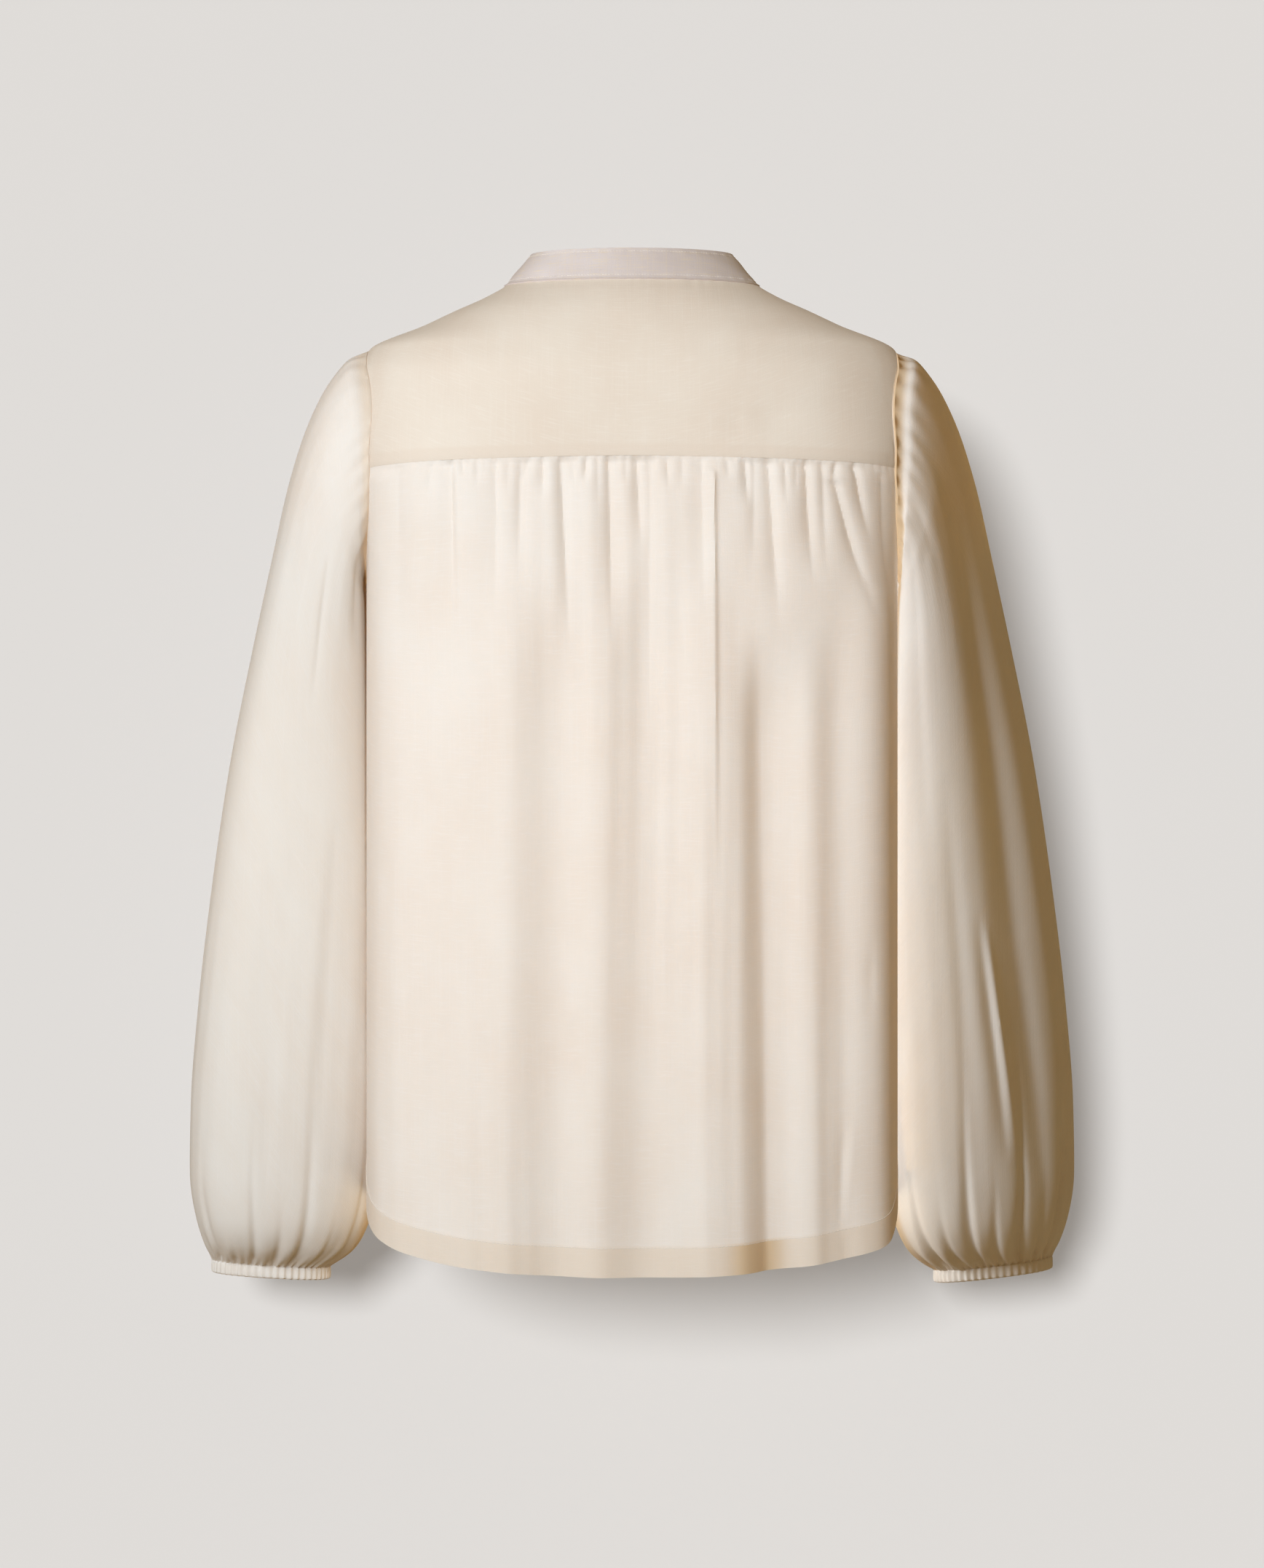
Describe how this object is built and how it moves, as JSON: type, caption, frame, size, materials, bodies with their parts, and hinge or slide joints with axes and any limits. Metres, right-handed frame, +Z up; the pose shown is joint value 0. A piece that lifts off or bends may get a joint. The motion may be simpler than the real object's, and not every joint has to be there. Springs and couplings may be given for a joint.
{
  "type": "mandarin collar blouse",
  "caption": "Loose cream voile blouse, hollow as worn: stand collar, smooth wrap-over yoke, gathered back, full bishop sleeves drawn into narrow elastic cuffs, buttoned front and curved hem.",
  "frame": {"origin": "middle of the neck opening, level with the back neck seam", "axes": "+Z up, the blouse's front faces -Y and the wearer's left is +X"},
  "size_m": [0.634, 0.2296, 0.7289],
  "materials": {
    "voile": "cream cotton and silk voile, plain weave with slubs, soft sheen",
    "collar_voile": "the same voile doubled and interlined, edge stitched",
    "shell_button": "polished cream shell-look button"
  },
  "bodies": {
    "root": {"yoke": "voile", "back_panel": "voile", "left_front": "voile", "right_front": "voile", "left_button_band": "voile", "right_button_band": "voile", "left_sleeve": "voile", "right_sleeve": "voile", "left_cuff": "voile", "right_cuff": "voile", "collar": "collar_voile", "button_1": "shell_button", "button_2": "shell_button", "button_3": "shell_button", "button_4": "shell_button", "button_5": "shell_button", "button_6": "shell_button", "button_7": "shell_button"}
  },
  "joints": []
}
